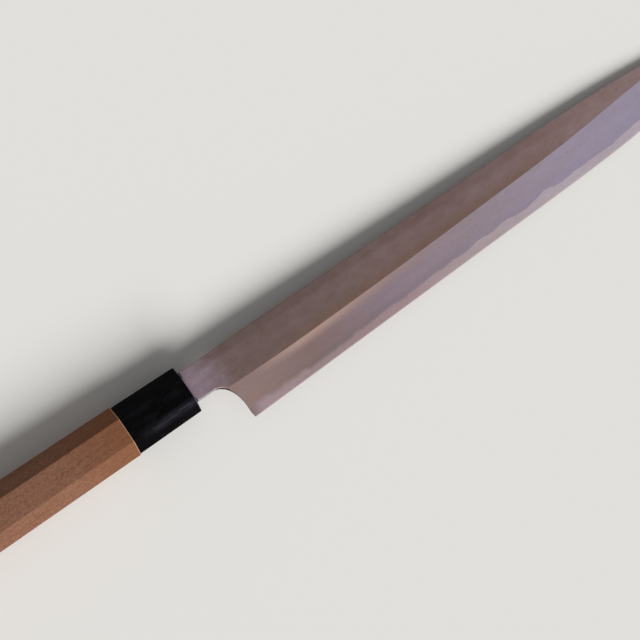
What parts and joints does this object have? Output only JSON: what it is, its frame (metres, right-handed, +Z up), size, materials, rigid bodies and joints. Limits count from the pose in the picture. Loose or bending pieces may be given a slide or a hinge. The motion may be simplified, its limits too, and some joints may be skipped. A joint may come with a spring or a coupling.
{
  "type": "yanagiba knife",
  "caption": "Long single-bevel slicing knife with a hollowed back, a laminated blade, a black horn ferrule and an octagonal wooden handle, lying on its back with the bevel up.",
  "frame": {"origin": "middle of the bounding box, on the surface that the knife lies on", "axes": "+X from the butt of the handle to the tip, +Y from the cutting edge to the spine, +Z up from the blade's flat back to its bevelled face"},
  "size_m": [0.4678, 0.04, 0.0239],
  "materials": {
    "soft_iron": "satin, hazy on the bevel, finely brushed along the flat",
    "hard_steel": "finely polished",
    "horn": "polished black horn with faint grey streaks",
    "wood": "sanded, unvarnished magnolia with fine short pores",
    "resin": "dark set resin"
  },
  "bodies": {
    "root": {"blade_cladding": "soft_iron", "blade_edge_steel": "hard_steel", "ferrule": "horn", "handle": "wood", "tang_bedding": "resin"}
  },
  "joints": []
}
